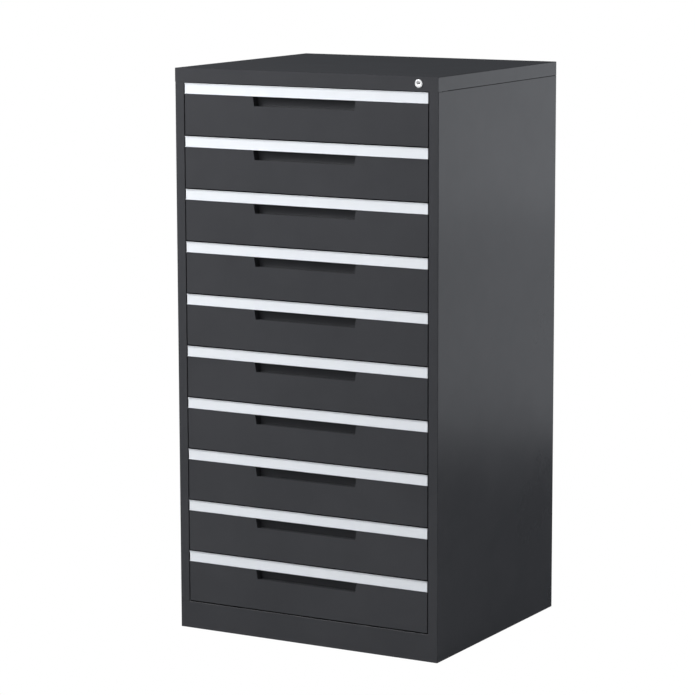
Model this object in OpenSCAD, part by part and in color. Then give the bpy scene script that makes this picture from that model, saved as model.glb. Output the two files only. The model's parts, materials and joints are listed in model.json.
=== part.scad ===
// Tall steel cabinet with a column of shallow drawers on full-extension runners,
// a label strip and a recessed pull on every drawer, and one lock for all of them.
// Millimetres. The origin is on the floor, in the middle of the footprint.
// +Z is up and the drawers open towards -Y. Drawer 1 is the top one.

/* [Cabinet] */
// Overall width
cab_w = 700; // [560:10:900]
// Overall depth, front face to rear face
cab_d = 610; // [480:10:760]
// Overall height
cab_h = 1350; // [1120:10:1640]
// Thickness of the casing's sheet steel
sheet = 1; // [0.8:0.1:1.5]
// Width of the stile at each side of the drawers
stile_w = 24; // [20:1:36]
// Height of the top rail and of the cover's flanges
rail_h = 33; // [31:1:45]
// Height of the plinth under the drawers
plinth_h = 65; // [40:1:120]
// How far the stiles, the rail and the drawer fronts fold back
fold_back = 22; // [20:1:27]
// Width of the narrow flanges that join one panel to the next
flange_w = 14; // [10:1:18]
// Open joint between the cover and the side panels
cover_joint = 0.8; // [0.4:0.1:1.5]

/* [Drawers] */
// Number of drawers
drawer_n = 10; // [8:1:12]
// Gap above the top drawer
gap_top = 2; // [1.5:0.5:4]
// Gap between two drawer fronts
gap_mid = 3; // [2:0.5:5]
// Gap under the bottom drawer
gap_bottom = 3; // [2:0.5:5]
// Gap between a drawer front and the stile
gap_side = 2.5; // [1.5:0.5:4]
// Thickness of the drawers' sheet steel
drawer_sheet = 1; // [0.8:0.1:1.2]
// Height of the tray's floor above the front's lower edge
tray_lift = 6; // [4:1:10]
// Distance from the tray's rim up to the front's upper edge
tray_below_top = 28; // [20:1:34]
// Width of the safe edge folded in along the tray's rim
hem_w = 6; // [4:1:10]

/* [Label strip] */
// Height of the strip
strip_h = 25; // [18:1:32]
// Depth of the strip's section, front to back
strip_depth = 3; // [3:0.5:5]
// How far the strip stands proud of the drawer front
strip_proud = 1; // [0.5:0.5:2]
// Thickness of the strip's back, and of the edges behind its lips
strip_wall = 1; // [0.8:0.1:1.2]
// Height of each lip that holds the label
strip_lip = 1.5; // [1:0.5:3]
// Depth of the groove that the label slides in
strip_groove = 0.8; // [0.6:0.1:1]

/* [Pull] */
// Width of the recess at its upper edge
pull_w = 274; // [160:2:320]
// Height of the opening under the strip
pull_h = 23; // [18:1:28]
// How far each end slopes in towards the bottom
pull_taper = 4; // [0:1:10]
// How far the recess rises behind the strip
pull_rise = 16; // [10:1:20]

/* [Runners] */
// Height of the cabinet's runner member
runner_h = 45; // [38:1:54]
// Thickness of the runners' steel
runner_t = 1.2; // [1:0.1:1.5]
// Depth of a whole runner, cabinet side to drawer side
runner_depth = 13.2; // [13:0.1:15]
// Height of the runner's centre line above the front's lower edge
runner_rise = 34; // [31:1:36]
// Room between the fronts' folded edges and the runners
runner_gap = 3; // [2:1:10]
// Room between the runners and the rear face
rear_room = 35; // [25:1:60]
// Thickness of the posts' sheet steel
post_sheet = 1.5; // [1.2:0.1:2]
// Width of a post
post_w = 34; // [28:1:50]

/* [Lock] */
// Distance from the lock's centre to the cabinet's side
lock_from_side = 50; // [46:1:80]
// Distance from the lock's centre to the cabinet's top
lock_from_top = 15.5; // [15:0.5:17]
// Diameter of the lock's face
lock_face_d = 19; // [18:0.5:21]
// Diameter of the lock's body
lock_body_d = 16; // [15:0.5:17]
// Diameter of the plug that the key turns
plug_d = 12; // [10:0.5:13]
// Radius at which the cam's pin turns
cam_r = 9; // [8:0.5:9]
// Width of the upright lock bar
bar_w = 15; // [12:1:17]
// Thickness of the lock bar
bar_t = 2; // [1.5:0.5:2.5]

/* [Wall fixing] */
// Diameter of the two holes in the cover's rear flange
anchor_d = 7; // [5:0.5:9]
// Distance between the two holes
anchor_span = 500; // [300:10:520]

/* [Hidden] */
$fn = 64;
two_digits = function (i) str(i < 10 ? "0" : "", i);
drawers = [for (i = [1:drawer_n]) i];
CASING = ["left_side_panel", "right_side_panel", "top_cover", "top_rail", "base_pan",
          "rear_panel", "cabinet_runners", "lock_barrel", "lock_plug", "lock_bar"];
DRAWER_PIECES = ["front", "tray", "label_strip", "runners", "middle_runners"];

graphite = "#424347";
zinc = "#b9bcc0";
aluminium = "#e3e7ee";
chrome = "#d9dbde";

front_y = -cab_d / 2;
side_in = cab_w / 2 - sheet;             // inner face of a side panel
rear_in = cab_d / 2 - sheet;             // inner face of the side panels' rear flanges
stile_in = cab_w / 2 - stile_w;          // edge of a stile, beside the drawers
rail_z = cab_h - rail_h;                 // lower edge of the top rail
below_cover = rail_z - cover_joint;      // upper edge of the side panels
pitch = (rail_z - plinth_h - gap_top + gap_mid - gap_bottom) / drawer_n;
front_h = pitch - gap_mid;
front_w = 2 * (stile_in - gap_side);
strip_seat = strip_depth - strip_proud;  // the front's upper band steps back this far
pull_depth = fold_back - drawer_sheet;

runner_clear = 0.5;                      // from the stile's edge in to the runners
runner_out = stile_in - runner_clear;    // cabinet side of a runner
runner_in = runner_out - runner_depth;   // drawer side of a runner
runner_y = front_y + fold_back + runner_gap;
runner_len = cab_d - fold_back - runner_gap - rear_room;
post_y = runner_y + 20;                  // front of the front post
rear_post_y = runner_y + runner_len - 70 - post_w;

tray_w = 2 * runner_in;
tray_y = front_y + fold_back;
drawer_runner_len = runner_len - 4;      // stops short of the cabinet's member
tray_len = runner_y + drawer_runner_len - tray_y;
tray_h = front_h - tray_lift - tray_below_top;

lock_x = cab_w / 2 - lock_from_side;
lock_z = cab_h - lock_from_top;
lock_proud = 2;                          // how far the lock's face stands out
lock_len = lock_proud + fold_back - 3;   // length of the lock's body
cam_t = 2;
cam_gap = 0.5;                           // between the body's end and the cam
bar_y = front_y + fold_back + 2;         // the bar runs just behind the stile's fold
bar_in = stile_in + sheet + 1.5;         // edge of the bar nearest the drawers
bar_lift = 2 * cam_r * sin(45);          // a quarter turn of the key lifts the bar this far
pin_d = 5;
pin_z = lock_z - cam_r * sin(45);        // height of the cam's pin when unlocked
slot_play = 0.6;                         // all round the pin, in the arm's slot
arm_h = 11;
hook_h = 8;
hook_reach = 8;                          // how far a hook reaches in past the stile
hook_rise = runner_rise + runner_h / 2 + 4;
catch_h = 10;
catch_rise = hook_rise + hook_h + 3.5;
catch_gap = 1.5;                         // between a hook and the back of its catch

function drawer_node(i, piece) = str("drawer_", two_digits(i), "_", piece);
function drawer_z(i) = rail_z - gap_top - front_h - (i - 1) * pitch;

// A straight block between two corners.
module block(low, high) {
    translate(low) cube(high - low);
}

// A shape drawn in X and Z, extruded back from y by depth.
module upright(y, depth) {
    translate([0, y + depth, 0]) rotate([90, 0, 0]) linear_extrude(depth) children();
}

// The same on the left and on the right.
module both_sides() {
    children();
    mirror([1, 0, 0]) children();
}

// Quarter of a ring, centred on the origin, in the quadrant of the two signs.
module bend(inner, thick, sx, sy) {
    intersection() {
        difference() {
            circle(inner + thick);
            circle(inner);
        }
        translate([sx < 0 ? -inner - thick : 0, sy < 0 ? -inner - thick : 0])
            square(inner + thick);
    }
}

// ---- casing ----

// Plan of the right side panel: the side, the stile, its fold and the rear flange.
module side_plan() {
    r = sheet / 2;                       // inside radius of the corner folds
    corner = r + sheet;
    translate([side_in, front_y + corner]) square([sheet, cab_d - 2 * corner]);
    translate([side_in - r, front_y + corner]) bend(r, sheet, 1, -1);
    translate([stile_in, front_y]) square([stile_w - corner, sheet]);
    translate([stile_in, front_y]) square([sheet, fold_back]);
    translate([side_in - r, -front_y - corner]) bend(r, sheet, 1, 1);
    translate([cab_w / 2 - flange_w, -front_y - sheet]) square([flange_w - corner, sheet]);
}

// Upright channel that carries the runners, with its open side against the skin.
module post(y) {
    difference() {
        block([runner_out, y, plinth_h], [side_in, y + post_w, below_cover - sheet]);
        block([runner_out + post_sheet, y + post_sheet, plinth_h - 1],
              [side_in + 1, y + post_w - post_sheet, rail_z]);
    }
}

// Skin of a side, its flanges and its two welded posts, on the right. The top flange
// is the seat that the cover stands on, and the foot flange rests on the floor.
module side_assembly() {
    stile_top = cab_h - sheet;
    difference() {
        linear_extrude(stile_top) side_plan();
        // the stile runs up beside the rail, and the rest stops under the cover
        block([side_in - sheet, front_y + 2 * sheet, below_cover],
              [cab_w, cab_d, cab_h]);
        block([side_in - flange_w, rear_in - sheet, below_cover], [cab_w, cab_d, cab_h]);
        block([side_in, front_y - 1, below_cover], [cab_w, cab_d, cab_h]);
    }
    block([side_in - flange_w, post_y, below_cover - sheet], [side_in, rear_in - sheet, rail_z]);
    block([side_in - flange_w, front_y + fold_back + sheet, 0], [side_in, rear_in, sheet]);
    post(post_y);
    post(rear_post_y);
}

module left_side_panel() {
    color(graphite) mirror([1, 0, 0]) side_assembly();
}

module right_side_panel() {
    color(graphite) {
        side_assembly();
        for (z = [drawer_z(drawer_n), drawer_z(ceil(drawer_n / 2)), drawer_z(1)])
            bar_guide(z + runner_rise);
    }
}

// Saddle that the lock bar slides in, welded between the stile's fold and the side.
module bar_guide(z) {
    play = 0.4;
    difference() {
        block([stile_in + sheet, bar_y - 3, z], [side_in, bar_y + bar_t + 3, z + 14]);
        block([bar_in - play, bar_y - play, z - 1],
              [bar_in + bar_w + play, bar_y + bar_t + play, z + 15]);
    }
}

// Folded cover: the top, two side flanges, a rear flange and the returns under them.
module top_cover() {
    color(graphite) difference() {
        union() {
            block([-cab_w / 2, front_y, cab_h - sheet], [cab_w / 2, -front_y, cab_h]);
            both_sides() {
                block([side_in, front_y, rail_z], [cab_w / 2, -front_y, cab_h]);
                block([side_in - flange_w, post_y, rail_z], [cab_w / 2, -front_y, rail_z + sheet]);
            }
            block([-cab_w / 2, -front_y - sheet, rail_z], [cab_w / 2, -front_y, cab_h]);
            block([-cab_w / 2, -front_y - flange_w, rail_z], [cab_w / 2, -front_y, rail_z + sheet]);
        }
        for (x = [-anchor_span / 2, anchor_span / 2])
            translate([x, -front_y + 1, cab_h - rail_h / 2])
                rotate([90, 0, 0]) cylinder(h = sheet + 2, d = anchor_d);
    }
}

// Folded rail between the stiles, under the cover's front edge, drilled for the lock.
module top_rail() {
    top = cab_h - sheet;
    color(graphite) difference() {
        block([-stile_in, front_y, rail_z], [stile_in, front_y + fold_back, top]);
        block([-stile_in - 1, front_y + sheet, rail_z + sheet],
              [stile_in + 1, front_y + fold_back + 1, top - sheet]);
        translate([lock_x, front_y - 1, lock_z])
            rotate([-90, 0, 0]) cylinder(h = sheet + 2, d = lock_body_d + 0.2);
    }
}

// Floor of the cabinet and the plinth, folded from one sheet.
module base_pan() {
    flange = 20;
    behind = front_y + fold_back + sheet;  // the floor widens behind the stiles' folds
    rear = rear_in - sheet;                // it stops against the rear panel
    color(graphite) {
        block([-stile_in, front_y, plinth_h - sheet], [stile_in, behind, plinth_h]);
        block([-side_in, behind, plinth_h - sheet], [side_in, rear, plinth_h]);
        block([-stile_in, front_y, 0], [stile_in, front_y + sheet, plinth_h]);
        block([-stile_in, front_y, 0], [stile_in, front_y + flange, sheet]);
        both_sides()
            block([side_in - sheet, behind, plinth_h - flange], [side_in, rear, plinth_h]);
        block([-side_in, rear - sheet, plinth_h - flange], [side_in, rear, plinth_h]);
    }
}

// Flat back, set inside the side panels' rear flanges and under the cover's return.
module rear_panel() {
    color(graphite)
        block([-side_in + flange_w / 2, rear_in - sheet, plinth_h - 30],
              [side_in - flange_w / 2, rear_in, rail_z]);
}

// ---- runners ----
// A runner has three nested channels. Their sections are drawn in X and Z for the
// right-hand side, about the runner's centre line. u is the distance from the side of
// the runner that faces the cabinet.

ball_d = 4;                              // the channels stand a row of balls apart
channel_lip = 3.6;
outer_half = runner_h / 2;
middle_half = outer_half - runner_t - ball_d;
inner_half = middle_half - runner_t - ball_d;
outer_depth = runner_depth - 2.7;
middle_u = 3.4;
middle_depth = runner_depth - middle_u - 1.2;
inner_depth = 6.5;

// A channel with its web at u and its open side towards the drawer.
module channel(u, depth, half) {
    translate([runner_out - u, 0]) {
        translate([-runner_t, -half]) square([runner_t, 2 * half]);
        for (s = [-1, 1]) scale([1, s]) {
            translate([-depth, half - runner_t]) square([depth, runner_t]);
            translate([-depth, half - channel_lip]) square([runner_t, channel_lip]);
        }
    }
}

// One member on each side of a drawer, centred at height z and starting at runner_y.
module runner_pair(len, z) {
    color(zinc) both_sides() translate([0, 0, z]) upright(runner_y, len) children();
}

module cabinet_runners() {
    for (i = drawers)
        runner_pair(runner_len, drawer_z(i) + runner_rise)
            channel(0, outer_depth, outer_half);
}

module middle_runners(i) {
    runner_pair(runner_len, drawer_z(i) + runner_rise)
        channel(middle_u, middle_depth, middle_half);
}

// The drawer's own member opens the other way, towards the cabinet.
module drawer_runners(i) {
    runner_pair(drawer_runner_len, drawer_z(i) + runner_rise) translate([runner_in, 0]) {
        translate([0, -inner_half]) square([runner_t, 2 * inner_half]);
        for (s = [-1, 1]) scale([1, s])
            translate([0, inner_half - runner_t]) square([inner_depth, runner_t]);
    }
}

// ---- drawers ----

// Outline of the pull's pocket in X and Z, grown outwards by grow. The part under the
// strip is a trapezium, and the part behind the strip is a rectangle.
module pull_mouth(grow) {
    top = front_h - strip_h;
    half = pull_w / 2 + grow;
    low = half - pull_taper;
    polygon([[-low, top - pull_h - grow], [low, top - pull_h - grow], [half, top], [-half, top]]);
}

module pull_behind(grow) {
    top = front_h - strip_h;
    translate([-pull_w / 2 - grow, top]) square([pull_w + 2 * grow, pull_rise + grow]);
}

// Folded front: the face, the band that steps back behind the strip, the edges
// turned back all round, and the cup of the pull welded in behind.
module drawer_front(i) {
    t = drawer_sheet;
    half = front_w / 2;
    back = front_y + fold_back;
    band_z = front_h - strip_h;
    band_y = front_y + strip_seat;
    color(graphite) translate([0, 0, drawer_z(i)]) difference() {
        union() {
            difference() {
                union() {
                    block([-half, front_y, 0], [half, back, band_z]);
                    block([-half, band_y, 0], [half, back, front_h]);
                }
                block([-half + t, front_y + t, t], [half - t, back + 1, band_z - t]);
                block([-half + t, band_y + t, t], [half - t, back + 1, front_h - t]);
            }
            upright(front_y, fold_back) pull_mouth(t);
            upright(band_y, fold_back - strip_seat) pull_behind(t);
        }
        upright(front_y - 1, pull_depth + 1) pull_mouth(0);
        upright(band_y + t, pull_depth - strip_seat - t) pull_behind(0);
    }
}

// Extruded strip with a lip above and below that holds the label against its back.
module drawer_label_strip(i) {
    half = front_w / 2;
    low = front_h - strip_h;
    face_y = front_y - strip_proud;
    groove_y = face_y + strip_depth - strip_wall;
    edge = strip_lip / 2;                // what is left above and below the groove
    color(aluminium) translate([0, 0, drawer_z(i)]) difference() {
        block([-half, face_y, low], [half, face_y + strip_depth, front_h]);
        block([-half - 1, face_y - 1, low + strip_lip],
              [half + 1, groove_y - strip_groove / 2, front_h - strip_lip]);
        block([-half - 1, groove_y - strip_groove, low + edge],
              [half + 1, groove_y, front_h - edge]);
    }
}

// Folded tray: the floor with its two sides and their safe edges, then the welded ends,
// and on the right the catch that the lock bar holds.
module drawer_tray(i) {
    t = drawer_sheet;
    half = tray_w / 2;
    top = tray_lift + tray_h;
    end_y = tray_y + tray_len;
    color(graphite) translate([0, 0, drawer_z(i)]) {
        block([-half, tray_y, tray_lift], [half, end_y, tray_lift + t]);
        both_sides() {
            block([half - t, tray_y, tray_lift], [half, end_y, top]);
            block([half - hem_w, tray_y, top - t], [half, end_y, top]);
        }
        for (y = [tray_y, end_y - t])
            block([-half + t, y, tray_lift + t], [half - t, y + t, top]);
        for (y = [tray_y, end_y - hem_w])
            block([-half + hem_w, y, top - t], [half - hem_w, y + hem_w, top]);
        lock_catch(half);
    }
}

// Angle on a tray's side, with its upright leg just behind the lock bar's hook.
module lock_catch(x) {
    thick = 1.5;
    y = bar_y + bar_t + catch_gap;
    reach = stile_in - gap_side - x;
    block([x, y, catch_rise], [x + reach, y + thick, catch_rise + catch_h]);
    block([x, y, catch_rise], [x + thick, y + 16, catch_rise + catch_h]);
}

// ---- lock ----

// Fixed body of the lock: the face, the threaded body and the nut behind the rail.
module lock_barrel() {
    bore = plug_d + 0.1;
    color(chrome) translate([lock_x, front_y - lock_proud, lock_z]) rotate([-90, 0, 0])
        difference() {
            union() {
                cylinder(h = 0.6, d1 = lock_face_d - 1.2, d2 = lock_face_d);
                translate([0, 0, 0.6]) cylinder(h = lock_proud - 0.6, d = lock_face_d);
                cylinder(h = lock_len, d = lock_body_d);
                translate([0, 0, lock_proud + sheet])
                    cylinder(h = 4, d = lock_face_d + 3, $fn = 6);
            }
            translate([0, 0, -1]) cylinder(h = lock_len + 2, d = bore);
        }
}

// Plug with its keyway, and the cam with its pin on the inner end.
module lock_plug() {
    key_w = 8;
    key_t = 1.6;
    sunk = 0.4;                          // the plug's end lies below the lock's face
    cam_y = lock_len + cam_gap;
    cam_end = 4.5;
    color(chrome) translate([lock_x, front_y - lock_proud, lock_z]) {
        difference() {
            translate([0, sunk, 0]) rotate([-90, 0, 0])
                cylinder(h = cam_y + cam_t - sunk, d = plug_d);
            block([-key_w / 2, -1, -key_t / 2], [key_w / 2, 12, key_t / 2]);
        }
        rotate([0, -45, 0]) {
            block([-cam_r, cam_y, -cam_end], [0, cam_y + cam_t, cam_end]);
            translate([-cam_r, cam_y, 0]) rotate([-90, 0, 0]) {
                cylinder(h = cam_t, r = cam_end);
                cylinder(h = cam_t + cam_gap + 4.5, d = pin_d);
            }
        }
    }
}

// Upright bar behind the right stile: an arm that the cam lifts, and a hook per drawer.
module lock_bar() {
    arm_z = pin_z - arm_h / 2;
    foot_z = drawer_z(drawer_n) + hook_rise;
    slot_r = pin_d / 2 + slot_play;
    slot_ends = [lock_x - cam_r, lock_x - cam_r * cos(45)];
    color(zinc) difference() {
        union() {
            block([bar_in, bar_y, foot_z - 30], [bar_in + bar_w, bar_y + bar_t, arm_z + arm_h]);
            block([lock_x - cam_r - slot_r - 3, bar_y, arm_z],
                  [bar_in + bar_w, bar_y + bar_t, arm_z + arm_h]);
            for (i = drawers) {
                z = drawer_z(i) + hook_rise;
                block([stile_in - hook_reach, bar_y, z], [bar_in + 1, bar_y + bar_t, z + hook_h]);
            }
        }
        upright(bar_y - 1, bar_t + 2) translate([0, pin_z]) {
            for (x = slot_ends) translate([x, 0]) circle(slot_r);
            translate([slot_ends[0], -slot_r])
                square([slot_ends[1] - slot_ends[0], 2 * slot_r]);
        }
    }
}

left_side_panel();
right_side_panel();
top_cover();
top_rail();
base_pan();
rear_panel();
cabinet_runners();
lock_barrel();
lock_plug();
lock_bar();
for (i = drawers) {
    drawer_front(i);
    drawer_tray(i);
    drawer_label_strip(i);
    drawer_runners(i);
    middle_runners(i);
}
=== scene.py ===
# %% [markdown]
# # A tall steel cabinet of drawers
# The cabinet is folded from sheet steel and powder coated. Ten shallow drawers run on
# three-part ball runners, each front carries a pale label strip and a recessed pull, and one lock
# bolts them all. This script dresses the measured model of that cabinet: it rounds the folds,
# makes the small parts that a drawing leaves out, and gives every surface its finish.
#
# ## The frame
# They are never moved. Every new piece takes its size from them and rides on one of their bodies.

# %% Load the frame
import json
from math import radians

import bmesh
import bpy
from mathutils import Matrix, Vector

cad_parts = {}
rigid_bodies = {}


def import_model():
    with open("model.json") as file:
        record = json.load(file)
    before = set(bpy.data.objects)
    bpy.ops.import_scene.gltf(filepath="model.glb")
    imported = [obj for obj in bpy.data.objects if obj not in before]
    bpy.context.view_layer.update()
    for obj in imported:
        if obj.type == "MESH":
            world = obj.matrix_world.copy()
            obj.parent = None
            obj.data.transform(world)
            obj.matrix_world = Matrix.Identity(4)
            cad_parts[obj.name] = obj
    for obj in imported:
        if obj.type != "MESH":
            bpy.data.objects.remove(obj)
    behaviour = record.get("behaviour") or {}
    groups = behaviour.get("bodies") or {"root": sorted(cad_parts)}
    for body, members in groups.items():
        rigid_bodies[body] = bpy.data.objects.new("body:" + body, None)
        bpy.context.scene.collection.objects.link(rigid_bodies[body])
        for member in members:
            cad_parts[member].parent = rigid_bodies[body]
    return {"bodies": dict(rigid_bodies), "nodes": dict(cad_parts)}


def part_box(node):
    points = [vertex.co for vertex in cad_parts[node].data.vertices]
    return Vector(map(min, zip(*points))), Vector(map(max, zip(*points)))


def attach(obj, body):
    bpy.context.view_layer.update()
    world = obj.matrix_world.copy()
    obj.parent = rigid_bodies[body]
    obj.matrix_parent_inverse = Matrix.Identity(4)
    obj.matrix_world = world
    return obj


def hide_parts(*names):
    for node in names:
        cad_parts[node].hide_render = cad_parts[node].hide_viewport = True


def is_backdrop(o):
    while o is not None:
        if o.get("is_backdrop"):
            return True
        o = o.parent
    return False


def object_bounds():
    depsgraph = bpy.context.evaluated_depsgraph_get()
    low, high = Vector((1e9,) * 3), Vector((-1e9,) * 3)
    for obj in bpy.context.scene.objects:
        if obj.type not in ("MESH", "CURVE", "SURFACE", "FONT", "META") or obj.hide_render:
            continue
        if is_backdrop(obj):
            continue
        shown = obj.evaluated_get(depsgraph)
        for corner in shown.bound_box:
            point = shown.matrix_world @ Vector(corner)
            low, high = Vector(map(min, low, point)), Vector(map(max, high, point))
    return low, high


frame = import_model()
cad_box = [list(corner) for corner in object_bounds()]

MM = 0.001
scene = bpy.context.scene
drawers = sorted(body for body in frame["bodies"] if body.startswith("drawer_"))

# %% [markdown]
# ## The camera
# Tall furniture is best seen from well back through a long lens, so that its uprights stay
# almost parallel. The camera stands at the right-hand front corner, a little above
# the cabinet's top, and looks slightly down. A hint of roll levels the floor line.

# %% Camera
camera_data = bpy.data.cameras.new("camera")
camera_data.lens = 152.3
camera = bpy.data.objects.new("camera", camera_data)
scene.collection.objects.link(camera)
camera.location = (3.416, -6.129, 1.814)
camera.rotation_euler = (radians(90 - 9.28), 0, radians(29.55))
camera.rotation_euler.rotate_axis("Z", radians(-0.14))
scene.camera = camera
print("camera distance", round(camera.location.length, 2), "m")

# %% [markdown]
# ## Selecting in code
# Every tool in edit mode acts on whatever is selected. By hand you would click a face or an
# edge. In a script you say where it is instead: which way a face looks, or at what height an
# edge lies. These helpers open a piece in edit mode and select what a small test accepts.

# %% Selection helpers
def only(piece):
    """Select one object, and nothing else, and make it active."""
    if bpy.context.mode != "OBJECT":
        bpy.ops.object.mode_set(mode="OBJECT")
    bpy.ops.object.select_all(action="DESELECT")
    piece.select_set(True)
    bpy.context.view_layer.objects.active = piece


def open_with(piece, kind, accept):
    """Open a piece in edit mode with the faces or edges selected that accept() says yes to."""
    only(piece)
    bpy.ops.object.mode_set(mode="EDIT")
    bpy.ops.mesh.select_mode(type=kind)
    bpy.ops.mesh.select_all(action="DESELECT")
    mesh = bmesh.from_edit_mesh(piece.data)
    chosen = [item for item in (mesh.faces if kind == "FACE" else mesh.edges) if accept(item)]
    for item in chosen:
        item.select_set(True)
    bmesh.update_edit_mesh(piece.data)
    return len(chosen)


def close():
    bpy.ops.object.mode_set(mode="OBJECT")


def faces(way, **limits):
    """A test for faces that look along way, such as "-Y", whose centre is within the limits."""
    axis = "XYZ".index(way[1])
    sign = -1 if way[0] == "-" else 1
    return lambda face: face.normal[axis] * sign > 0.9 and within(face.calc_center_median(), limits)


def edges(along, **limits):
    """A test for edges that run along an axis and whose middle is within the limits."""
    axis = "XYZ".index(along)

    def accept(edge):
        a, b = (vertex.co for vertex in edge.verts)
        return abs((b - a).normalized()[axis]) > 0.99 and within((a + b) / 2, limits)
    return accept


def within(point, limits):
    """True where each named coordinate is within 0.02 mm of its value, or inside its range."""
    near = 0.02 * MM
    for name, value in limits.items():
        low, high = value if isinstance(value, tuple) else (value, value)
        if not low - near <= point["xyz".index(name)] <= high + near:
            return False
    return True

# %% [markdown]
# ## Making a piece
# A piece starts as a primitive, here a cube stretched between two corners, and ends in place():
# it rides on its body, takes its material, and the measured node that it stands for is hidden.
# The cube's size is applied at once, so the object itself stays at the origin,
# unturned and unscaled, like the frame's own parts.

# %% Piece helpers
def add_block(name, low, high):
    low, high = Vector(low), Vector(high)
    bpy.ops.object.select_all(action="DESELECT")
    bpy.ops.mesh.primitive_cube_add(size=1, location=(low + high) / 2, scale=high - low)
    piece = bpy.context.active_object
    piece.name = piece.data.name = name
    bpy.ops.object.transform_apply(location=True, rotation=True, scale=True)
    return piece


def add_rod(name, centre, radius, y_low, y_high, sides=64):
    """A cylinder that lies along Y."""
    bpy.ops.object.select_all(action="DESELECT")
    middle = (centre[0], (y_low + y_high) / 2, centre[1])
    bpy.ops.mesh.primitive_cylinder_add(vertices=sides, radius=radius, depth=y_high - y_low,
                                        location=middle, rotation=(radians(90), 0, 0))
    piece = bpy.context.active_object
    piece.name = piece.data.name = name
    bpy.ops.object.transform_apply(location=True, rotation=True, scale=True)
    return piece


def cut_across(piece, axis, *spots):
    """Bisect the whole piece at each spot along an axis, which adds edges there."""
    for spot in spots:
        open_with(piece, "FACE", lambda face: True)
        normal = [1 if letter == axis else 0 for letter in "XYZ"]
        bpy.ops.mesh.bisect(plane_co=[spot * n for n in normal], plane_no=normal)
        close()


def modify(piece, kind, **settings):
    """Add a modifier, set it, and apply it to the mesh."""
    only(piece)
    modifier = piece.modifiers.new(kind.lower(), kind)
    for key, value in settings.items():
        setattr(modifier, key, value)
    bpy.ops.object.modifier_apply(modifier=modifier.name)


def combine(piece, tool, operation):
    """Unite a piece with a tool, or cut the tool out of it, and throw the tool away."""
    modify(piece, "BOOLEAN", object=tool, operation=operation, solver="EXACT")
    bpy.data.meshes.remove(tool.data)


def smooth(piece, angle=35):
    """Round the shading over small folds, and keep each broad face truly flat."""
    only(piece)
    bpy.ops.object.shade_smooth_by_angle(angle=radians(angle))
    modify(piece, "WEIGHTED_NORMAL", weight=100, keep_sharp=True)


def copy_up(piece, name, rise):
    """A copy with its own mesh, lifted by rise."""
    twin = bpy.data.objects.new(name, piece.data.copy())
    twin.data.name = name
    twin.data.transform(Matrix.Translation((0, 0, rise)))
    scene.collection.objects.link(twin)
    return twin


def place(piece, body, slot, material, *nodes):
    """Ride a finished piece on its body, give it its material, and hide the nodes that it stands for.
    slot is not used.
    """
    piece.data.materials.clear()
    piece.data.materials.append(material)
    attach(piece, body)
    if nodes:
        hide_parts(*nodes)

# %% [markdown]
# ## Surface effects as node groups
# Real finishes are never one value all over. Powder coat has a faint orange peel and a drift in
# its gloss, zinc has a mottled bloom, and handling leaves soft smudges. Two effects are shared by
# several finishes, so each is a node group with named sockets, built once and set differently in
# every material. Both read Object coordinates, which are true metres here, so the pattern keeps
# its scale on every piece and runs on unbroken from one piece to the next.

# %% Node helpers
def node_group(name, inputs, outputs):
    """A shader group with named sockets and nothing else in it, and its two end nodes."""
    group = bpy.data.node_groups.new(name, "ShaderNodeTree")
    for label, kind, value in inputs:
        socket = group.interface.new_socket(label, in_out="INPUT", socket_type=kind)
        socket.default_value = value
    for label, kind in outputs:
        group.interface.new_socket(label, in_out="OUTPUT", socket_type=kind)
    return group, group.nodes.new("NodeGroupInput"), group.nodes.new("NodeGroupOutput")


def add_node(tree, kind, **settings):
    """A node with its properties, and its unlinked sockets, set by name."""
    node = tree.nodes.new(kind)
    for key, value in settings.items():
        if hasattr(node, key):
            setattr(node, key, value)
        else:
            node.inputs[key.replace("_", " ").title()].default_value = value
    return node


FLOAT = "NodeSocketFloat"

# %% [markdown]
# Drift is the slow, soft change over a surface: paint goes on a little unevenly and is rubbed in
# use. Two noises are added, so that the change has no single size that the eye would notice.

# %% Drift: a slow, soft change over a surface
def make_drift():
    """Two noises, one six times finer than the other, added into a value from Low to High."""
    group, start, end = node_group(
        "drift",
        [("Scale", FLOAT, 4.0), ("Low", FLOAT, 0.4), ("High", FLOAT, 0.5)],
        [("Value", FLOAT)])
    where = add_node(group, "ShaderNodeTexCoord")
    broad = add_node(group, "ShaderNodeTexNoise", Detail=3.0, Roughness=0.55)
    narrow = add_node(group, "ShaderNodeTexNoise", Detail=2.0, Roughness=0.5)
    times = add_node(group, "ShaderNodeMath", operation="MULTIPLY")
    times.inputs[1].default_value = 6.0
    half = add_node(group, "ShaderNodeMath", operation="MULTIPLY_ADD")
    half.inputs[1].default_value = 0.35
    spread = add_node(group, "ShaderNodeMapRange")
    spread.inputs["From Min"].default_value = 0.5
    spread.inputs["From Max"].default_value = 0.85
    link = group.links.new
    link(where.outputs["Object"], broad.inputs["Vector"])
    link(where.outputs["Object"], narrow.inputs["Vector"])
    link(start.outputs["Scale"], broad.inputs["Scale"])
    link(start.outputs["Scale"], times.inputs[0])
    link(times.outputs[0], narrow.inputs["Scale"])
    link(narrow.outputs[0], half.inputs[0])
    link(broad.outputs[0], half.inputs[2])
    link(half.outputs[0], spread.inputs["Value"])
    link(start.outputs["Low"], spread.inputs["To Min"])
    link(start.outputs["High"], spread.inputs["To Max"])
    link(spread.outputs["Result"], end.inputs["Value"])
    return group

# %% [markdown]
# Grain is the fine relief of a coating: a speckle as small as the powder's own grains, over the
# wider ripple that it sets in when it melts and flows in the oven.

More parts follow.
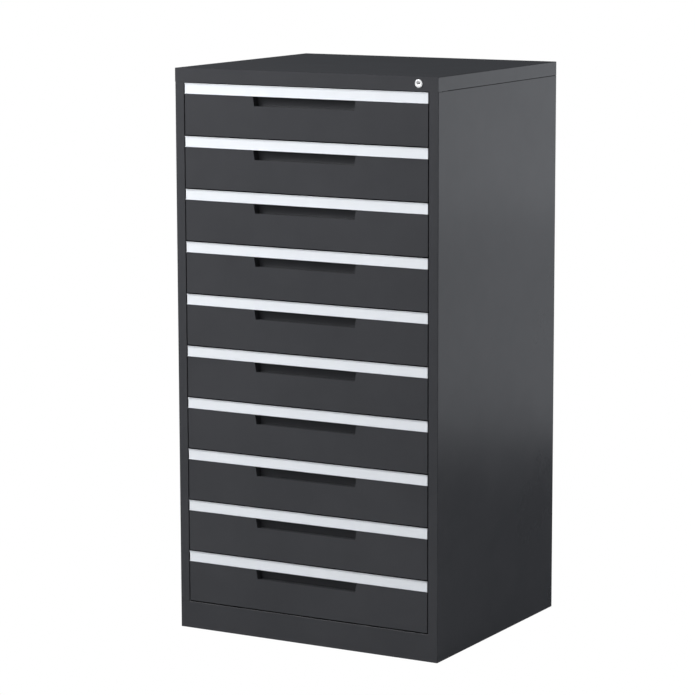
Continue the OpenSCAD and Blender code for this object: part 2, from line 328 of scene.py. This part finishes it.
# %% Grain: the fine relief of a coating
def make_grain():
    """Height from a fine speckle over a coarser ripple, for a Bump node in the material."""
    group, start, end = node_group(
        "grain",
        [("Speckle Size", FLOAT, 0.0006), ("Ripple Size", FLOAT, 0.003), ("Ripple", FLOAT, 0.5)],
        [("Height", FLOAT)])
    where = add_node(group, "ShaderNodeTexCoord")
    speckle = add_node(group, "ShaderNodeTexNoise", Detail=2.0, Roughness=0.6)
    ripple = add_node(group, "ShaderNodeTexNoise", Detail=1.0, Roughness=0.4)
    mix = add_node(group, "ShaderNodeMix", data_type="FLOAT")
    link = group.links.new
    for noise, size in ((speckle, "Speckle Size"), (ripple, "Ripple Size")):
        over = add_node(group, "ShaderNodeMath", operation="DIVIDE")
        over.inputs[0].default_value = 1.0
        link(start.outputs[size], over.inputs[1])
        link(over.outputs[0], noise.inputs["Scale"])
        link(where.outputs["Object"], noise.inputs["Vector"])
    link(start.outputs["Ripple"], mix.inputs[0])
    link(speckle.outputs[0], mix.inputs[2])
    link(ripple.outputs[0], mix.inputs[3])
    link(mix.outputs[0], end.inputs["Height"])
    return group


drift_group, grain_group = make_drift(), make_grain()
print("groups", [group.name for group in bpy.data.node_groups])

# %% [markdown]
# ## Finishes
# `finish` makes a material whose colour drifts between two close tones, whose gloss drifts
# between two roughnesses, and whose relief comes from the grain group. What is the same all over
# the surface, such as a coat or the index of refraction, is set on the shader's own socket.

# %% Finish
def finish(name, tones, roughness, drift_size, grain, bump, metal=0.0, **sockets):
    """tones is two colours, roughness is (low, high), drift_size and grain's sizes are metres."""
    material = bpy.data.materials.new(name)
    material.use_nodes = True
    tree = material.node_tree
    shader = tree.nodes["Principled BSDF"]
    shader.inputs["Metallic"].default_value = metal
    for label, value in sockets.items():
        shader.inputs[label.replace("_", " ")].default_value = value
    tone = add_node(tree, "ShaderNodeGroup", node_tree=drift_group)
    gloss = add_node(tree, "ShaderNodeGroup", node_tree=drift_group)
    for node, scale, low, high in ((tone, 0.8, 0.0, 1.0), (gloss, 1.7, *roughness)):
        node.inputs["Scale"].default_value = scale / drift_size
        node.inputs["Low"].default_value = low
        node.inputs["High"].default_value = high
    mix = add_node(tree, "ShaderNodeMix", data_type="RGBA")
    mix.inputs[6].default_value = (*tones[0], 1)
    mix.inputs[7].default_value = (*tones[1], 1)
    relief = add_node(tree, "ShaderNodeGroup", node_tree=grain_group)
    for label, value in zip(("Speckle Size", "Ripple Size", "Ripple"), grain):
        relief.inputs[label].default_value = value
    bumps = add_node(tree, "ShaderNodeBump")
    bumps.inputs["Strength"].default_value = bump
    bumps.inputs["Distance"].default_value = 0.1 * MM
    link = tree.links.new
    link(tone.outputs["Value"], mix.inputs[0])
    link(mix.outputs[2], shader.inputs["Base Color"])
    link(gloss.outputs["Value"], shader.inputs["Roughness"])
    link(relief.outputs["Height"], bumps.inputs["Height"])
    link(bumps.outputs["Normal"], shader.inputs["Normal"])
    return material

# %% [markdown]
# The cabinet wears one graphite powder coat, inside and out. Powder coat is plastic baked onto the
# steel: not metallic, dark, satin, with a fine orange peel a few millimetres across.

# %% Graphite powder coat
graphite_coat = finish(
    "graphite_powder_coat", ((0.0415, 0.0425, 0.0465), (0.0465, 0.0475, 0.052)), (0.21, 0.26),
    0.25, (0.7 * MM, 3.5 * MM, 0.6), 0.07, IOR=1.5)

# %% [markdown]
# The label strips are pale anodised aluminium with a white card slid in behind two lips. The
# runners and the lock bar are zinc plated, the lock is chromed, and the balls are bright steel.
# Dull zinc scatters light almost as paint does, so it is only partly metallic here.

# %% The other finishes
anodised = finish(
    "anodised_strip", ((0.66, 0.68, 0.72), (0.70, 0.72, 0.76)), (0.34, 0.42),
    0.06, (0.3 * MM, 1.2 * MM, 0.3), 0.05, metal=0.35)
label_card = finish(
    "white_label_card", ((0.69, 0.715, 0.75), (0.71, 0.735, 0.77)), (0.5, 0.62),
    0.08, (0.25 * MM, 1.5 * MM, 0.4), 0.06)
zinc = finish(
    "zinc_plate", ((0.54, 0.55, 0.57), (0.64, 0.65, 0.66)), (0.28, 0.42),
    0.03, (0.5 * MM, 4 * MM, 0.5), 0.1, metal=0.55)
# The lock's chrome and the plug's nickel are near white and only a little metallic: painted shine
# that stands in for the bright reflections of polished metal.
chrome_painted_shine = finish(
    "lock_chrome", ((0.90, 0.91, 0.92), (0.93, 0.93, 0.94)), (0.2, 0.25),
    0.01, (0.3 * MM, 1 * MM, 0.5), 0.01, metal=0.25)
plug_nickel_painted_shine = finish(
    "plug_nickel_painted_shine", ((0.72, 0.72, 0.73), (0.76, 0.76, 0.77)), (0.24, 0.3),
    0.01, (0.3 * MM, 1 * MM, 0.5), 0.015, metal=0.3)
ball_steel = finish(
    "ball_steel", ((0.62, 0.62, 0.63), (0.68, 0.68, 0.69)), (0.1, 0.16),
    0.02, (0.3 * MM, 1 * MM, 0.5), 0.02, metal=0.7)
print("finishes", len(bpy.data.materials))

# %% [markdown]
# ## The casing
# The measured side panels, rail and floor pan are right in shape, but their folds are perfectly
# sharp, and no press brake folds steel like that. Each is copied, its loose triangles are merged
# back into whole faces, and the folds that can be seen are bevelled to a small radius, which is
# what catches the light along a real edge. The joints between stile, rail and plinth are welded
# and ground flush on the real cabinet, so the folds stop short of them.

# %% A copy of a measured part, with its folds rounded
fold_radius = 0.5 * MM


def rounded_copy(node, folds, radius=fold_radius, cuts=(), whole_faces=True):
    """folds is a list of edge tests, and cuts is (axis, place) pairs where the mesh is cut.
    whole_faces merges the loose triangles of each flat face into one."""
    piece = bpy.data.objects.new(node + "_folded", frame["nodes"][node].data.copy())
    piece.data.name = piece.name
    scene.collection.objects.link(piece)
    open_with(piece, "FACE", lambda face: True)
    bpy.ops.mesh.remove_doubles(threshold=0.001 * MM)
    if whole_faces:
        bpy.ops.mesh.dissolve_limited(angle_limit=radians(1))
    close()
    for axis, spot in cuts:
        cut_across(piece, axis, spot)
    found = open_with(piece, "EDGE", lambda edge: any(test(edge) for test in folds))
    bpy.ops.mesh.bevel(offset=radius, segments=3)
    close()
    smooth(piece)
    print(piece.name, "folds", found, "faces", len(piece.data.polygons))
    return piece


# %% [markdown]
# Each side panel carries its stile on the front. The fold down the stile's inner edge runs only
# between the plinth and the rail, so the panel is cut across at both heights first. It is cut
# again one sheet's thickness beyond each, so that the odd shading at a fold's end stays within a
# millimetre. The top fold lies under the cover's edge, where the two make a thin dark joint.

# %% Stiles, rail and plinth
low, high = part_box("top_cover")
half_width, front, rear = high.x, low.y, high.y
rail_low, rail_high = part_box("top_rail")
opening_half, rail_z = rail_high.x, rail_low.z
plinth_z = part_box("base_pan")[1].z
sheet = 1 * MM

for side, sign in (("left", -1), ("right", 1)):
    node = side + "_side_panel"
    stile_fold = edges("Z", x=sign * opening_half, y=front, z=(plinth_z, rail_z))
    top_fold = edges("Y", x=sign * half_width, z=(low.z - sheet, low.z))
    stops = [("Z", stop) for stop in (plinth_z - sheet, plinth_z, rail_z, rail_z + sheet)]
    panel = rounded_copy(node, [stile_fold, top_fold], cuts=stops)
    place(panel, "cabinet", "painted_steel", graphite_coat, node)

rail = rounded_copy("top_rail", [edges("X", y=front, z=rail_z)], 0.4 * MM)
place(rail, "cabinet", "painted_steel", graphite_coat, "top_rail")
pan = rounded_copy("base_pan", [edges("X", y=front, z=plinth_z)], 0.4 * MM)
place(pan, "cabinet", "painted_steel", graphite_coat, "base_pan")

# %% [markdown]
# ## The top cover
# The cover is one sheet folded down at the sides and the back, with a narrow return under each
# flange. It is made the way the sheet is: a cube loses the faces that the real thing doesn't have,
# its fold lines are bevelled, the free lower edges are extruded inwards, and Solidify gives the
# sheet its thickness. Its front edge lies on the rail.

# %% Top cover
cover = add_block("top_cover_folded", low, high)
open_with(cover, "FACE", lambda face: faces("-Y")(face) or faces("-Z")(face))
bpy.ops.mesh.delete(type="FACE")
close()
open_with(cover, "EDGE", lambda edge: not edge.is_boundary)
bpy.ops.mesh.bevel(offset=1.5 * MM, segments=4)
close()
post_depth = 45 * MM
return_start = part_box("right_side_panel")[0].y + post_depth
cut_across(cover, "Y", return_start - sheet, return_start)
return_width = 13 * MM
for test, push in ((edges("Y", x=-half_width, z=low.z, y=(return_start, rear)), (return_width, 0, 0)),
                   (edges("Y", x=half_width, z=low.z, y=(return_start, rear)), (-return_width, 0, 0)),
                   (edges("X", y=rear, z=low.z), (0, -return_width, 0))):
    open_with(cover, "EDGE", test)
    bpy.ops.mesh.extrude_region_move(TRANSFORM_OT_translate={"value": push})
    close()
open_with(cover, "EDGE", lambda edge: not edge.is_boundary and any(
    edges("Y", x=side, z=low.z)(edge) for side in (-half_width, half_width)))
bpy.ops.mesh.bevel(offset=1.0 * MM, segments=3)
close()
modify(cover, "SOLIDIFY", thickness=sheet, offset=-1, use_even_offset=True)
fixing_height, fixing_x, fixing_radius = (low.z + high.z) / 2, 250 * MM, 3.5 * MM
drill_reach = 5 * MM
for x in (-fixing_x, fixing_x):
    drill = add_rod("drill", (x, fixing_height), fixing_radius,
                    rear - drill_reach, rear + drill_reach, 32)
    combine(cover, drill, "DIFFERENCE")
smooth(cover)
place(cover, "cabinet", "painted_steel", graphite_coat, "top_cover")
print("cover faces", len(cover.data.polygons))

# %% [markdown]
# ## A drawer front
# The front is a shallow pan. Its face carries the pull, the band above steps back by two
# millimetres so that the label strip sits almost flush, and the edges turn back all round. It is
# modelled once, for the top drawer, by extruding the lower face forwards, hollowing the back, and
# adding the pull's cup, and then it is copied down the column.

# %% Sizes of the top drawer
front_low, front_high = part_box("drawer_01_front")
strip_low, strip_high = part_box("drawer_01_label_strip")
band_y = strip_high.y
band_z = strip_low.z
pull_half_top, pull_half_low = 137 * MM, 133 * MM
pull_floor, pull_roof = band_z - 23 * MM, band_z + 16 * MM
pull_back = front_high.y - sheet
print("front", [round(size / MM, 1) for size in front_high - front_low])


def pull_tool(name, grow, face_y, behind_y):
    """The pull's pocket as two blocks in one mesh: a trapezium under the strip, and the space
    behind it. grow makes the same shape one sheet larger, for the cup that is welded in."""
    back = pull_back + grow
    under = add_block(name, (-pull_half_top - grow, face_y, pull_floor - grow),
                      (pull_half_top + grow, back, band_z))
    open_with(under, "FACE", faces("-Z"))
    share = (pull_half_low + grow) / (pull_half_top + grow)
    bpy.ops.transform.resize(value=(share, 1, 1))
    close()
    behind = add_block("behind", (-pull_half_top - grow, behind_y, band_z - 0.01 * MM),
                       (pull_half_top + grow, back, pull_roof + grow))
    combine(under, behind, "UNION")
    return under


# %% [markdown]
# The pull's cup is one sheet larger than its pocket, so uniting the cup and then cutting the
# pocket out leaves a closed pan of the sheet's own thickness behind the face.

# %% Drawer front
drawer_front = add_block("drawer_01_front_folded",
                         (front_low.x, band_y, front_low.z), front_high)
cut_across(drawer_front, "Z", band_z)
open_with(drawer_front, "FACE", faces("-Y", z=(front_low.z, band_z)))
bpy.ops.mesh.extrude_region_move(TRANSFORM_OT_translate={"value": (0, front_low.y - band_y, 0)})
close()
open_with(drawer_front, "FACE", faces("+Y"))
bpy.ops.mesh.inset(thickness=sheet)
hollow = front_high.y - band_y - sheet
bpy.ops.mesh.extrude_region_move(TRANSFORM_OT_translate={"value": (0, -hollow, 0)})
close()
combine(drawer_front, pull_tool("cup", sheet, front_low.y + sheet / 2, band_y + sheet / 2), "UNION")
combine(drawer_front, pull_tool("pocket", 0, front_low.y - sheet, band_y + sheet), "DIFFERENCE")

outer = (edges("X", y=front_low.y, z=front_low.z),
         edges("X", y=band_y, z=front_high.z),
         edges("Z", y=front_low.y, x=front_low.x), edges("Z", y=front_low.y, x=front_high.x),
         edges("Z", y=band_y, x=front_low.x, z=(band_z, front_high.z)),
         edges("Z", y=band_y, x=front_high.x, z=(band_z, front_high.z)))
found = open_with(drawer_front, "EDGE", lambda edge: any(test(edge) for test in outer))
bpy.ops.mesh.bevel(offset=fold_radius, segments=3)
close()
smooth(drawer_front)
print("front folds", found, "faces", len(drawer_front.data.polygons))

# %% [markdown]
# ## The label strip and its card
# The strip is an extruded section: a back, a thin stem along each long edge, and a lip that turns
# in from each stem. The lips are extruded from the stems' inner faces, which leaves the groove
# that the card slides in. The card is a slip of white board, a little shorter than the strip.

# %% Label strip
lip, stem = 1.5 * MM, 0.75 * MM
groove_back, groove_front = strip_high.y - 1 * MM, strip_high.y - 1.8 * MM
strip = add_block("drawer_01_strip_section", (strip_low.x, groove_back, strip_low.z), strip_high)
cut_across(strip, "Z", strip_low.z + stem, strip_high.z - stem)
open_with(strip, "FACE", lambda face: faces("-Y")(face)
          and not strip_low.z + stem < face.calc_center_median().z < strip_high.z - stem)
bpy.ops.mesh.extrude_region_move(
    TRANSFORM_OT_translate={"value": (0, strip_low.y - groove_back, 0)})
close()
cut_across(strip, "Y", groove_front)
for test, push in ((faces("+Z", z=strip_low.z + stem, y=(strip_low.y, groove_front)), lip - stem),
                   (faces("-Z", z=strip_high.z - stem, y=(strip_low.y, groove_front)), stem - lip)):
    open_with(strip, "FACE", test)
    bpy.ops.mesh.extrude_region_move(TRANSFORM_OT_translate={"value": (0, 0, push)})
    close()
open_with(strip, "EDGE", edges("X", y=strip_low.y))
bpy.ops.mesh.bevel(offset=0.25 * MM, segments=2)
close()
smooth(strip)

short, loose = 0.5 * MM, 0.1 * MM
card = add_block("drawer_01_label_card",
                 (strip_low.x + short, groove_front + loose, strip_low.z + stem + loose),
                 (strip_high.x - short, groove_back - loose, strip_high.z - stem - loose))
open_with(card, "EDGE", edges("Z"))
bpy.ops.mesh.bevel(offset=0.2 * MM, segments=2)
close()
smooth(card)
print("strip faces", len(strip.data.polygons), "card faces", len(card.data.polygons))

# %% [markdown]
# ## The tray
# The tray is a folded box with a safe edge turned in along its rim, so that nobody cuts a hand on
# raw steel. A cube loses its lid, its rim is extruded and scaled inwards, its fold lines are
# bevelled, and Solidify gives the thickness. The lock's catch is a small angle on the right side.

# %% Tray
tray_low, tray_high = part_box("drawer_01_tray")
tray_half = -tray_low.x
hem = 6 * MM
tray = add_block("drawer_01_tray_folded", (-tray_half, tray_low.y, tray_low.z),
                 (tray_half, tray_high.y, tray_high.z))
open_with(tray, "FACE", faces("+Z"))
bpy.ops.mesh.delete(type="FACE")
close()
open_with(tray, "EDGE", lambda edge: edge.is_boundary)
tray_width, tray_depth = 2 * tray_half, tray_high.y - tray_low.y
bpy.ops.mesh.extrude_region_move(TRANSFORM_OT_translate={"value": (0, 0, 0)})
bpy.ops.transform.resize(value=(1 - 2 * hem / tray_width, 1 - 2 * hem / tray_depth, 1))
close()
open_with(tray, "EDGE", lambda edge: not edge.is_boundary and edge.calc_face_angle(0) > 1)
bpy.ops.mesh.bevel(offset=1.2 * MM, segments=3)
close()
modify(tray, "SOLIDIFY", thickness=sheet, offset=-1, use_even_offset=True)

weld = tray_half - 0.2 * MM
catch_y, catch_low, catch_high = tray_low.y + 5.5 * MM, tray_low.z + 66 * MM, tray_low.z + 76 * MM
catch = add_block("catch", (weld, catch_y, catch_low),
                  (tray_high.x, catch_y + 1.5 * MM, catch_high))
open_with(catch, "EDGE", edges("Y"))
bpy.ops.mesh.bevel(offset=1.5 * MM, segments=3)
close()
foot = add_block("foot", (weld, catch_y, catch_low),
                 (tray_half + 1.5 * MM, catch_y + 16 * MM, catch_high))
combine(catch, foot, "UNION")
combine(tray, catch, "UNION")
smooth(tray)
print("tray faces", len(tray.data.polygons))

# %% [markdown]
# ## The runners
# Each drawer hangs on two three-part runners. The outer member is screwed to the cabinet, the
# inner one to the tray, and a middle one travels half as far between them on rows of balls. The
# measured channels are kept as they are. The balls, and the pressed cages that space them, are
# added on the middle members. Array repeats the ball, and Mirror makes the other side.

# %% Ball rows and cages for the top drawer's runners
outer_low, outer_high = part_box("drawer_01_middle_runners")
runner_z = (outer_low.z + outer_high.z) / 2
ball_radius, ball_pitch, ball_count = 2 * MM, 20 * MM, 13


def add_cage(name, x_low, x_high, half_height, y_low):
    """A pressed strip folded into a U, open towards the drawer, on both sides of the cabinet."""
    y_high = y_low + ball_pitch * ball_count
    cage = add_block(name, (x_low, y_low, runner_z - half_height),
                     (x_high, y_high, runner_z + half_height))
    open_with(cage, "FACE", lambda face: faces("-X")(face) or abs(face.normal.y) > 0.9)
    bpy.ops.mesh.delete(type="FACE")
    close()
    open_with(cage, "EDGE", lambda edge: not edge.is_boundary)
    bpy.ops.mesh.bevel(offset=0.8 * MM, segments=2)
    close()
    modify(cage, "SOLIDIFY", thickness=0.6 * MM, offset=0)
    modify(cage, "MIRROR", use_axis=(True, False, False))
    smooth(cage)
    return cage


def add_balls(name, x, half_height, y_low):
    """Two rows of balls, one above and one below the runner's middle, on both sides."""
    bpy.ops.object.select_all(action="DESELECT")
    start = (x, y_low + ball_pitch / 2, runner_z - half_height)
    bpy.ops.mesh.primitive_uv_sphere_add(segments=8, ring_count=6, radius=ball_radius,
                                         location=start)
    balls = bpy.context.active_object
    balls.name = balls.data.name = name
    bpy.ops.object.transform_apply(location=True)
    modify(balls, "ARRAY", count=ball_count, use_relative_offset=False,
           use_constant_offset=True, constant_offset_displace=(0, ball_pitch, 0))
    modify(balls, "ARRAY", count=2, use_relative_offset=False,
           use_constant_offset=True, constant_offset_displace=(0, 0, 2 * half_height))
    modify(balls, "MIRROR", use_axis=(True, False, False))
    smooth(balls, 180)
    return balls


def join(first, second):
    only(first)
    second.select_set(True)
    bpy.ops.object.join()
    return first


# The outer row runs in the cabinet's member and the inner row in the drawer's. At rest the outer
# row fills the rear half of the runner and the inner row the front half.
outer_row, inner_row = 19.3 * MM, 14.1 * MM
outer_sides, inner_sides = (316.4 * MM, 323.3 * MM), (314.6 * MM, 319.9 * MM)
outer_ball_x, inner_ball_x = 318.3 * MM, 316.75 * MM
front_y = outer_low.y + 5 * MM
cages = join(add_cage("drawer_01_ball_cages", *outer_sides, outer_row, 0),
             add_cage("inner_cage", *inner_sides, inner_row, front_y))
balls = join(add_balls("drawer_01_runner_balls", outer_ball_x, outer_row, 0),
             add_balls("inner_balls", inner_ball_x, inner_row, front_y))
print("cage faces", len(cages.data.polygons), "ball faces", len(balls.data.polygons))

# %% [markdown]
# ## Ten drawers
# Every drawer is the same, so the pieces made for the top one are copied down the column. Each
# copy has its own mesh, lowered by as much as its measured drawer front lies below the first.

# %% Copy down the column
top_z = front_low.z
patterns = (
    (drawer_front, "front_folded", "drawer", "painted_steel", graphite_coat, ("front",)),
    (tray, "tray_folded", "drawer", "painted_steel", graphite_coat, ("tray",)),
    (strip, "strip_section", "drawer", "label_strip", anodised, ("label_strip",)),
    (card, "label_card", "drawer", "label_strip", label_card, ()),
    (cages, "ball_cages", "middle", "runner_steel", zinc, ()),
    (balls, "runner_balls", "middle", "runner_steel", ball_steel, ()),
)
for drawer in drawers:
    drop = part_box(drawer + "_front")[0].z - top_z
    number = drawer[-2:]
    for pattern, part, kind, slot, material, nodes in patterns:
        name = f"{drawer}_{part}"
        piece = pattern if drawer == drawers[0] else copy_up(pattern, name, drop)
        place(piece, f"{kind}_{number}", slot, material, *(f"{drawer}_{node}" for node in nodes))
print("drawer pieces", len(drawers) * len(patterns))

# %% [markdown]
# ## The lock
# The lock is a chromed barrel through the top rail, with a plug that turns in it and shows the
# slot for its key. Both measured parts are right in shape. Only their turned rims get a fine
# bevel, which catches the light. Their pale, mostly unmetallic colour is painted shine: it stands
# in for the bright reflections that make the ring read as polished metal. Their round faces
# stay in triangles, because merging a face with a hole in it spoils the shading round the hole.

# %% Lock barrel and plug
barrel_low, barrel_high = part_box("lock_barrel")
lock_x, lock_z = 300 * MM, (barrel_low.z + barrel_high.z) / 2
face_radius, plug_radius = 9.5 * MM, 6 * MM


def rim(front_only, radius):
    """A test for the short edges that make up a circle round the lock's axis."""
    def accept(edge):
        middle = (edge.verts[0].co + edge.verts[1].co) / 2
        along = abs((edge.verts[0].co - edge.verts[1].co).normalized().y) > 0.5
        reach = ((middle.x - lock_x) ** 2 + (middle.z - lock_z) ** 2) ** 0.5
        return middle.y < front_only and abs(reach - radius) < 0.25 * MM and not along
    return accept


barrel = rounded_copy("lock_barrel", [rim(front + 0.5 * MM, face_radius)], 0.3 * MM,
                      whole_faces=False)
place(barrel, "cabinet", "lock_chrome", chrome_painted_shine, "lock_barrel")
plug = rounded_copy("lock_plug", [rim(front, plug_radius)], 0.25 * MM, whole_faces=False)
place(plug, "lock_plug", "lock_chrome", plug_nickel_painted_shine, "lock_plug")

# %% [markdown]
# ## The measured parts that stay
# The runners' channels, the lock bar and the plain back sheet already have their true shape. They
# keep it, and take their finish through their own material slots.

# %% Finishes on measured parts
kept = {"cabinet_runners": zinc, "lock_bar": zinc, "rear_panel": graphite_coat}
for number in range(1, len(drawers) + 1):
    kept[f"drawer_{number:02d}_runners"] = zinc
    kept[f"drawer_{number:02d}_middle_runners"] = zinc
filled = 0
for node, material in kept.items():
    for material_slot in frame["nodes"][node].material_slots:
        material_slot.material = material
        filled += 1
print("measured parts kept", len(kept), "slots filled", filled)

# %% [markdown]
# ## Floor and studio
# The cabinet stands alone in a white studio. The floor is white to the camera and a plain pale
# diffuser to everything else, so it throws soft light up and shows no shadow. A Light Path node
# tells the two apart. The floor is staging, not part of the object.

# %% Floor
bpy.ops.object.select_all(action="DESELECT")
bpy.ops.mesh.primitive_plane_add(size=30, location=(0, 0, -0.5 * MM))
floor = bpy.context.active_object
floor.name = "studio_floor"
floor.visible_glossy = False
floor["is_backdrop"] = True
floor_white = bpy.data.materials.new("studio_floor")
floor_white.use_nodes = True
tree = floor_white.node_tree
glow = add_node(tree, "ShaderNodeEmission")
pick = add_node(tree, "ShaderNodeMixShader")
path = add_node(tree, "ShaderNodeLightPath")
pale = tree.nodes["Principled BSDF"]
pale.inputs["Base Color"].default_value = (0.6, 0.6, 0.6, 1)
pale.inputs["Roughness"].default_value = 0.9
tree.links.new(path.outputs["Is Camera Ray"], pick.inputs["Fac"])
tree.links.new(pale.outputs["BSDF"], pick.inputs[1])
tree.links.new(glow.outputs["Emission"], pick.inputs[2])
tree.links.new(pick.outputs["Shader"], tree.nodes["Material Output"].inputs["Surface"])
floor.data.materials.append(floor_white)

# %% [markdown]
# ## Light
# Dark satin paint shows what it reflects more than how it is lit, so the lights are chosen as
# shapes. Two weak softboxes stand to the right and behind, where the right side mirrors them,
# and the lower one's edge draws a soft step across that side. A strong key light hangs high on
# the left and falls off down the drawers. A broad light in front and a fill on the right keep
# the fronts and the side even, and are hidden from reflections, because satin paint seen at a low
# angle would mirror them as a white glare. The surroundings glow softly, darkest at the horizon.

# %% Studio light
def add_softbox(name, location, target, size, power, colour=(1, 1, 1)):
    light = bpy.data.lights.new(name, "AREA")
    light.shape = "RECTANGLE"
    light.size, light.size_y = size
    light.energy = power
    light.color = colour
    lamp = bpy.data.objects.new(name, light)
    scene.collection.objects.link(lamp)
    lamp.location = location
    lamp.rotation_euler = (Vector(target) - Vector(location)).to_track_quat("-Z", "Y").to_euler()
    return lamp


side_tint = (0.92, 0.95, 1.0)
add_softbox("side_softbox", (1.63, 2.26, 0.97), (0.35, 0.0, 0.97), (2.0, 2.0), 7.1, side_tint)
add_softbox("upper_side_softbox", (1.62, 2.24, 1.44), (0.35, 0.0, 1.44), (2.0, 1.45), 2.6, side_tint)
add_softbox("key_softbox", (-1.9, -2.2, 3.1), (0, 0, 0.9), (2.6, 2.0), 166)
broad = add_softbox("front_softbox", (0.2, -4.5, 1.9), (0.1, 0, 0.9), (3.2, 2.4), 44)
fill = add_softbox("fill_softbox", (4.0, 1.0, 1.3), (0.35, 0.0, 0.7), (2.2, 2.2), 52)
for lamp in (broad, fill):
    lamp.visible_glossy = False

world = bpy.data.worlds.new("studio")
scene.world = world
world.use_nodes = True
tree = world.node_tree
tree.nodes.clear()
out = add_node(tree, "ShaderNodeOutputWorld")
seen = add_node(tree, "ShaderNodeBackground")
seen.inputs["Color"].default_value = (1, 1, 1, 1)
around = add_node(tree, "ShaderNodeBackground")
pick = add_node(tree, "ShaderNodeMixShader")
path = add_node(tree, "ShaderNodeLightPath")
where = add_node(tree, "ShaderNodeTexCoord")
split = add_node(tree, "ShaderNodeSeparateXYZ")
ramp = add_node(tree, "ShaderNodeValToRGB")
ramp.color_ramp.elements[0].position = 0.40
ramp.color_ramp.elements[0].color = (0.075, 0.08, 0.09, 1)
ramp.color_ramp.elements[1].position = 0.85
ramp.color_ramp.elements[1].color = (0.14, 0.148, 0.152, 1)
for position in (0.53, 0.62):
    dip = ramp.color_ramp.elements.new(position)
    dip.color = (0.057, 0.060, 0.066, 1)
lift = add_node(tree, "ShaderNodeMath", operation="MULTIPLY_ADD")
lift.inputs[1].default_value = 0.5
lift.inputs[2].default_value = 0.5
link = tree.links.new
link(where.outputs["Generated"], split.inputs["Vector"])
link(split.outputs["Z"], lift.inputs[0])
link(lift.outputs[0], ramp.inputs["Fac"])
link(ramp.outputs["Color"], around.inputs["Color"])
link(path.outputs["Is Camera Ray"], pick.inputs["Fac"])
link(around.outputs["Background"], pick.inputs[1])
link(seen.outputs["Background"], pick.inputs[2])
link(pick.outputs["Shader"], out.inputs["Surface"])
scene.view_settings.view_transform = "Standard"

# %% [markdown]
# ## The size
# The boxes of the measured and the dressed cabinet are printed side by side. The dressed one should
# fill the same box.

# %% Size and finish
bpy.context.view_layer.update()
seen_box = [list(corner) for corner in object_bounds()]
for name, corners in (("cad", cad_box), ("visual", seen_box)):
    print(name, [[round(value / MM, 2) for value in corner] for corner in corners])
